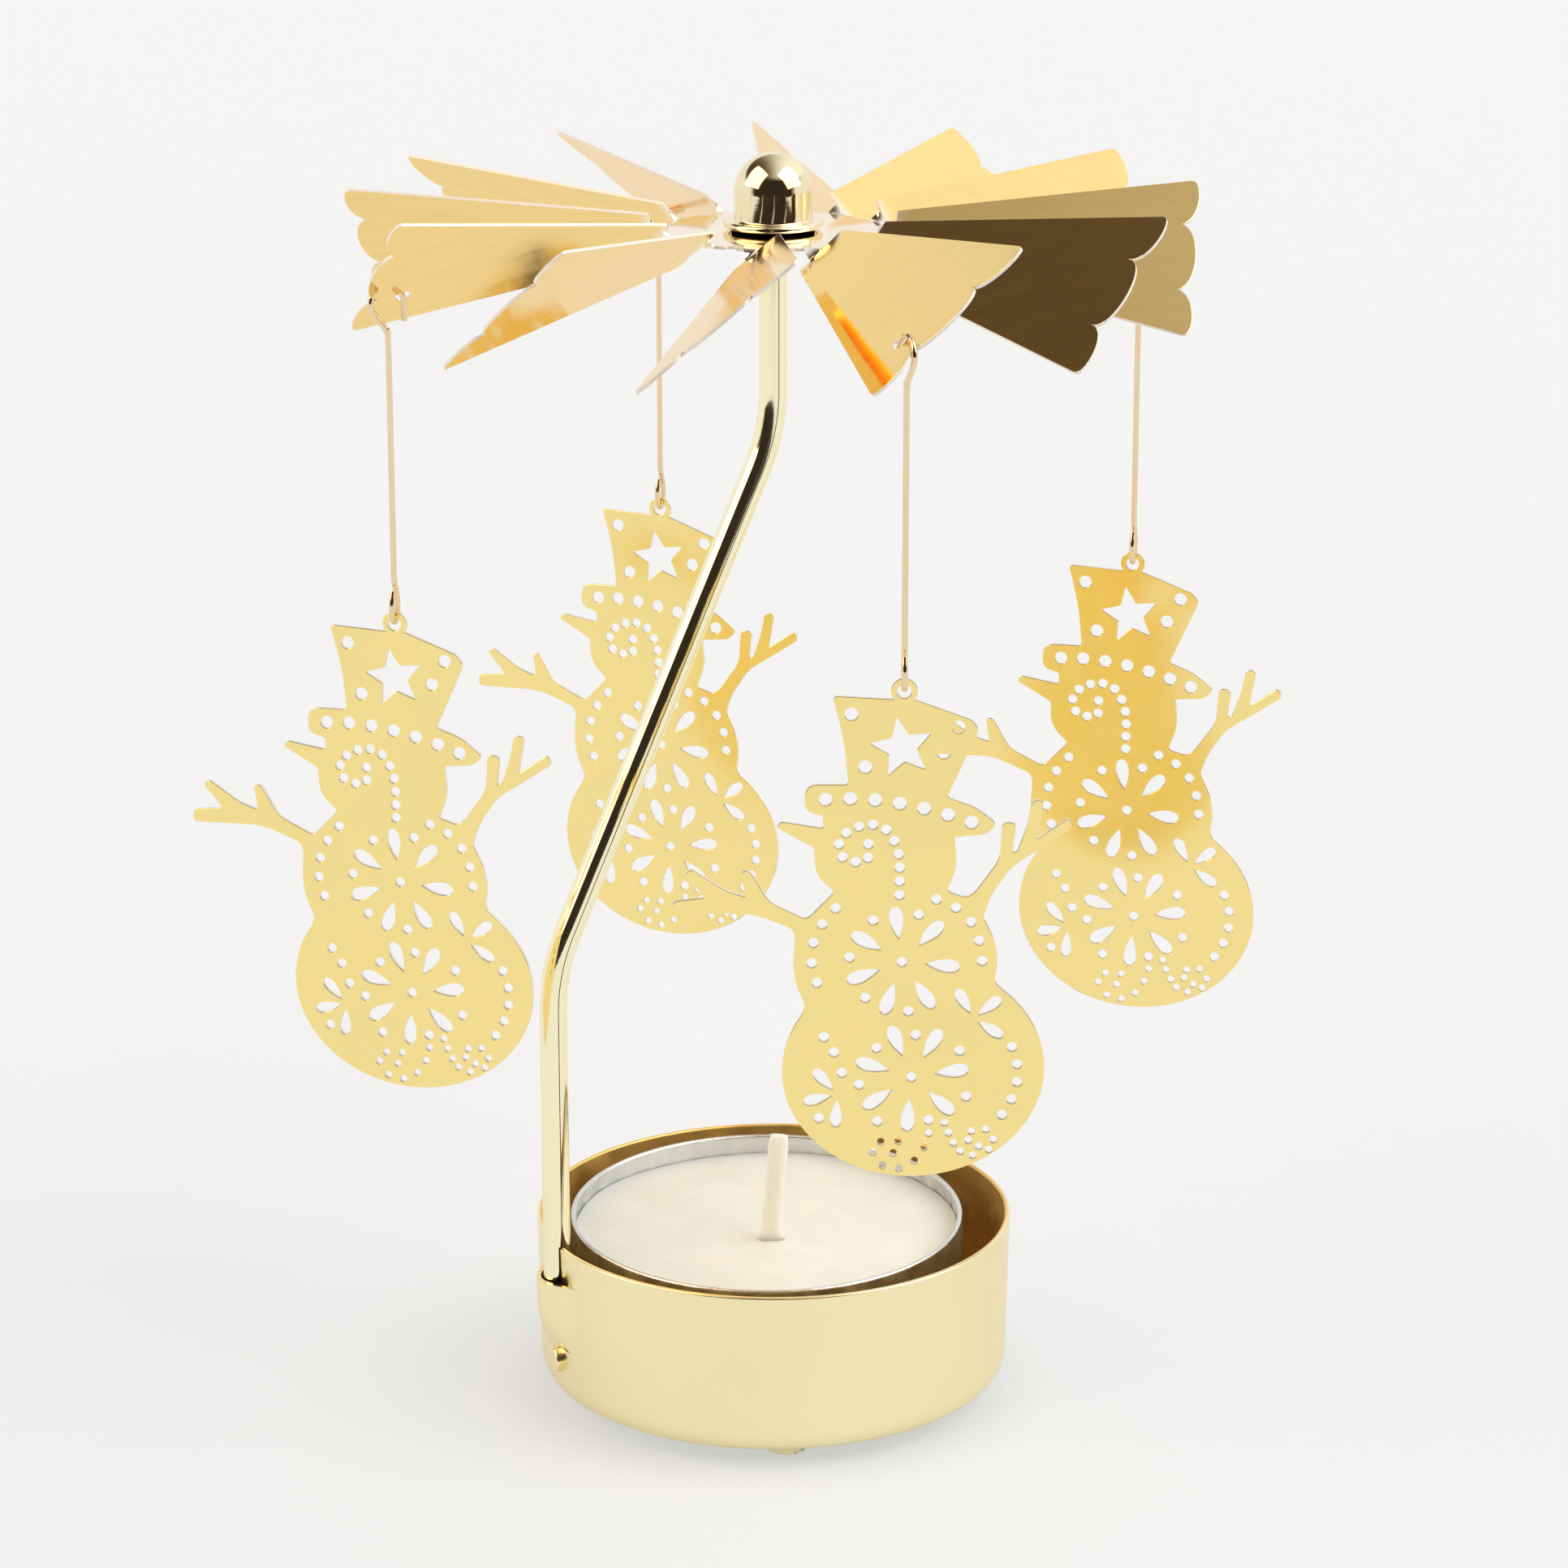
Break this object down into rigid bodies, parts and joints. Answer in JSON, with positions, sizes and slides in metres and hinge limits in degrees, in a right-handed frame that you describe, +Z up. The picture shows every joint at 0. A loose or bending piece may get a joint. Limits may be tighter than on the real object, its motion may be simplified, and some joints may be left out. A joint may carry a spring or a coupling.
{
  "type": "rotating candle holder",
  "caption": "Gold-coloured tealight holder: a round tray, a bent post and a bladed propeller that turns in the candle's warm air, with pierced snowmen hanging from wires.",
  "frame": {"origin": "middle of the tray's flat underside", "axes": "+Z up along the rotor's axis, front towards -Y, +X to the right seen from the front"},
  "size_m": [0.1025, 0.0804, 0.12],
  "materials": {
    "tray_gold": "bright gold plating",
    "blade_gold": "bright gold plating",
    "cap_gold": "polished gold plating",
    "wire_gold": "bright gold plating",
    "figure_gold": "satin gold plating",
    "needle_steel": "bright",
    "sustainer_steel": "dull",
    "cup_aluminium": "pressed foil",
    "candle_wax": "soft sheen",
    "wick_cotton": "waxed braid"
  },
  "bodies": {
    "stand": {"tray": "tray_gold", "post": "tray_gold", "pivot_needle": "needle_steel"},
    "candle": {"tealight_cup": "cup_aluminium", "wax": "candle_wax", "wick_sustainer": "sustainer_steel", "wick": "wick_cotton"},
    "rotor": {"propeller": "blade_gold", "hub_cap": "cap_gold", "hub_collar": "tray_gold"},
    "wire_front": {"hook_wire_front": "wire_gold"},
    "figure_front": {"snowman_front": "figure_gold"},
    "wire_right": {"hook_wire_right": "wire_gold"},
    "figure_right": {"snowman_right": "figure_gold"},
    "wire_back": {"hook_wire_back": "wire_gold"},
    "figure_back": {"snowman_back": "figure_gold"},
    "wire_left": {"hook_wire_left": "wire_gold"},
    "figure_left": {"snowman_left": "figure_gold"}
  },
  "joints": [
    {"name": "candle_lift", "type": "slide", "parent": "stand", "child": "candle", "axis": [0, 0, 1], "range_m": [0, 0.018]},
    {"name": "rotor_spin", "type": "hinge", "parent": "stand", "child": "rotor", "pos_m": [0, 0, 0.1114], "axis": [0, 0, 1], "continuous": true},
    {"name": "wire_swing_front", "type": "hinge", "parent": "rotor", "child": "wire_front", "pos_m": [0.01139, -0.03438, 0.10687], "axis": [-0.9212, -0.3891, 0], "range_deg": [0, 35]},
    {"name": "figure_swing_front", "type": "hinge", "parent": "wire_front", "child": "figure_front", "pos_m": [0.01139, -0.03438, 0.07757], "axis": [0, 1, 0], "range_deg": [-45, 45]},
    {"name": "wire_swing_right", "type": "hinge", "parent": "rotor", "child": "wire_right", "pos_m": [0.03438, 0.01139, 0.10687], "axis": [0.3891, -0.9212, 0], "range_deg": [0, 35]},
    {"name": "figure_swing_right", "type": "hinge", "parent": "wire_right", "child": "figure_right", "pos_m": [0.03438, 0.01139, 0.07757], "axis": [0.2419, 0.9703, 0], "range_deg": [-45, 45]},
    {"name": "wire_swing_back", "type": "hinge", "parent": "rotor", "child": "wire_back", "pos_m": [-0.01139, 0.03438, 0.10687], "axis": [0.9212, 0.3891, 0], "range_deg": [0, 35]},
    {"name": "figure_swing_back", "type": "hinge", "parent": "wire_back", "child": "figure_back", "pos_m": [-0.01139, 0.03438, 0.07757], "axis": [0.342, 0.9397, 0], "range_deg": [-45, 45]},
    {"name": "wire_swing_left", "type": "hinge", "parent": "rotor", "child": "wire_left", "pos_m": [-0.03438, -0.01139, 0.10687], "axis": [-0.3891, 0.9212, 0], "range_deg": [0, 35]},
    {"name": "figure_swing_left", "type": "hinge", "parent": "wire_left", "child": "figure_left", "pos_m": [-0.03438, -0.01139, 0.07757], "axis": [0.2419, 0.9703, 0], "range_deg": [-45, 45]}
  ]
}
